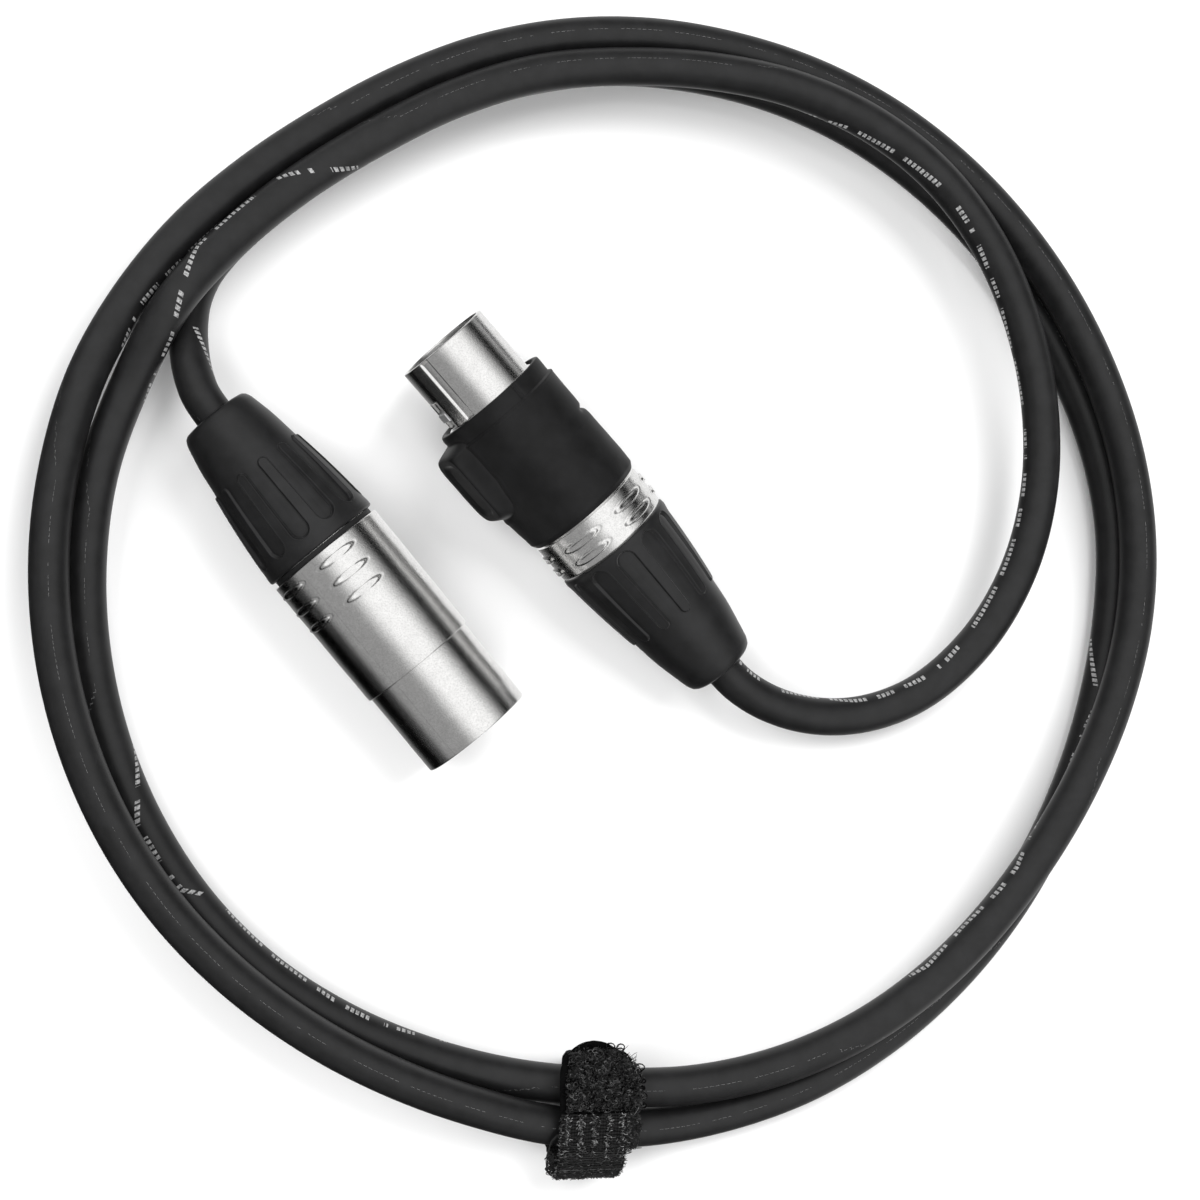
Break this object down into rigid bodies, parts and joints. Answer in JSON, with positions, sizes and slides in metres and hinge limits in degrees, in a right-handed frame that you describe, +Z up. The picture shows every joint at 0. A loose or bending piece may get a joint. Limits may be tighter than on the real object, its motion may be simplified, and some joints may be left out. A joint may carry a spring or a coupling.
{
  "type": "coiled xlr cable",
  "caption": "Coiled three-pole audio and lighting-control cable with a socket connector, a pin connector and a hook-and-loop tie.",
  "frame": {"origin": "middle of the coil's footprint, on the table it lies on", "axes": "+Z up from the table; the hook-and-loop tie is on the -Y side and the connectors lie inside the coil"},
  "size_m": [0.1886, 0.1908, 0.0239],
  "materials": {
    "cable_pvc": "matte flexible PVC, black",
    "copper": "bare copper strands",
    "core_red": "red core insulation",
    "core_white": "white core insulation",
    "nickel": "satin nickel on die-cast zinc",
    "rubber": "matte black rubber",
    "boot_plastic": "matte black soft plastic",
    "nylon": "natural nylon",
    "insert_plastic": "black glass-filled plastic",
    "contact_metal": "silver-plated contacts",
    "steel": "spring steel",
    "seal_rubber": "black rubber seal",
    "strap_fabric": "black woven hook tape",
    "strap_pile": "black loop pile"
  },
  "bodies": {
    "cable_assembly": {"cable_jacket": "cable_pvc", "cable_shield": "copper", "core_hot": "core_red", "core_cold": "core_white", "female_shell": "nickel", "female_collar": "rubber", "female_chuck": "nylon", "female_insert": "insert_plastic", "female_contact_1": "contact_metal", "female_contact_2": "contact_metal", "female_contact_3": "contact_metal", "female_drain_wire": "copper", "latch_pivot_pin": "steel", "latch_spring": "steel", "male_shell": "nickel", "male_seal_ring": "seal_rubber", "male_chuck": "nylon", "male_insert": "insert_plastic", "male_contact_1": "contact_metal", "male_contact_2": "contact_metal", "male_contact_3": "contact_metal", "male_drain_wire": "copper", "strap_band": "strap_fabric"},
    "latch": {"latch_lever": "steel", "latch_pad": "rubber"},
    "female_boot_travel": {"female_thrust_ring": "nylon"},
    "female_boot": {"female_boot": "boot_plastic"},
    "male_boot_travel": {"male_thrust_ring": "nylon"},
    "male_boot": {"male_boot": "boot_plastic"},
    "strap_tongue": {"strap_tongue": "strap_pile"},
    "strap_flap": {"strap_flap": "strap_fabric"}
  },
  "joints": [
    {"name": "latch_press", "type": "hinge", "parent": "cable_assembly", "child": "latch", "pos_m": [-0.01642, 0.01018, 0.0118], "axis": [-0.0722, 0.076, -0.9945], "range_deg": [-2, 1.5], "stiffness_Nm_per_rad": 0.35, "springref_deg": -3.44, "deforming": ["latch_spring"]},
    {"name": "female_boot_travel", "type": "slide", "parent": "cable_assembly", "child": "female_boot_travel", "axis": [0.6848, -0.7211, -0.1048], "range_m": [0, 0.0041]},
    {"name": "female_boot_turn", "type": "hinge", "parent": "female_boot_travel", "child": "female_boot", "pos_m": [0.00742, -0.00338, 0.00903], "axis": [0.6848, -0.7211, -0.1048], "range_deg": [0, 1440]},
    {"name": "male_boot_travel", "type": "slide", "parent": "cable_assembly", "child": "male_boot_travel", "axis": [-0.648, 0.7616, 0], "range_m": [0, 0.0041]},
    {"name": "male_boot_turn", "type": "hinge", "parent": "male_boot_travel", "child": "male_boot", "pos_m": [-0.05733, 0.01405, 0.0106], "axis": [-0.648, 0.7616, 0], "range_deg": [0, 1440]},
    {"name": "strap_tongue_peel", "type": "hinge", "parent": "cable_assembly", "child": "strap_tongue", "pos_m": [-0.0033, -0.08405, 0.01147], "axis": [1, 0, 0], "range_deg": [0, 80]},
    {"name": "strap_flap_open", "type": "hinge", "parent": "cable_assembly", "child": "strap_flap", "pos_m": [-0.0052, -0.0949, 0.0069], "axis": [1, 0, 0], "range_deg": [0, 125]}
  ],
  "couplings": [
    {"joint": "female_boot_travel", "follows": "female_boot_turn", "m_per_rad": 0.00015915},
    {"joint": "male_boot_travel", "follows": "male_boot_turn", "m_per_rad": 0.00015915}
  ]
}
